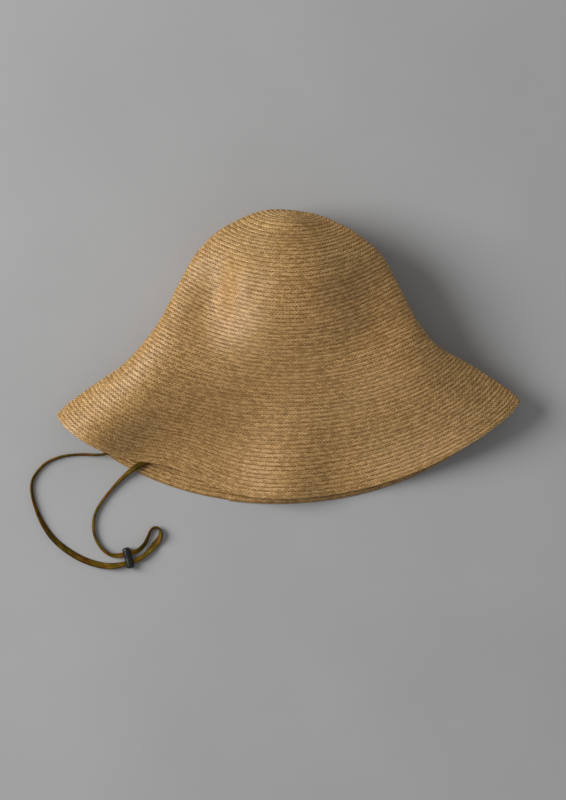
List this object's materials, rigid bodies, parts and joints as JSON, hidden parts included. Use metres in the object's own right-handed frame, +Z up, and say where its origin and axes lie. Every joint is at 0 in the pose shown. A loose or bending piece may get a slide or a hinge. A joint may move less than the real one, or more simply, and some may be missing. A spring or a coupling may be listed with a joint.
{
  "type": "straw sun hat",
  "caption": "Wide-brimmed sun hat sewn from a spiral straw braid, laid flat on its side, with an inner sweatband and a flat suede chin cord drawn through a sliding two-hole bead",
  "frame": {"origin": "on the floor that the laid-down hat rests on, under the middle of the hat's box; the chin cord lies beside it", "axes": "+Z up from the floor, +Y towards the tip of the crown, +X towards the right side fold, seen from above"},
  "size_m": [0.4492, 0.3284, 0.088],
  "materials": {
    "straw": "matte",
    "ribbon": "matte",
    "label": "matte",
    "lace": "matte",
    "bead": "satin"
  },
  "bodies": {
    "hat": {"crown": "straw", "brim": "straw", "sweatband": "ribbon", "sweatband_join": "ribbon", "size_label": "label", "cord_tab_left": "ribbon", "cord_tab_right": "ribbon", "chin_cord": "lace"},
    "slider": {"cord_slider": "bead"}
  },
  "joints": [
    {"name": "slider_slide", "type": "slide", "parent": "hat", "child": "slider", "axis": [0.9659, 0.2588, 0], "range_m": [-0.002, 0.005]}
  ]
}
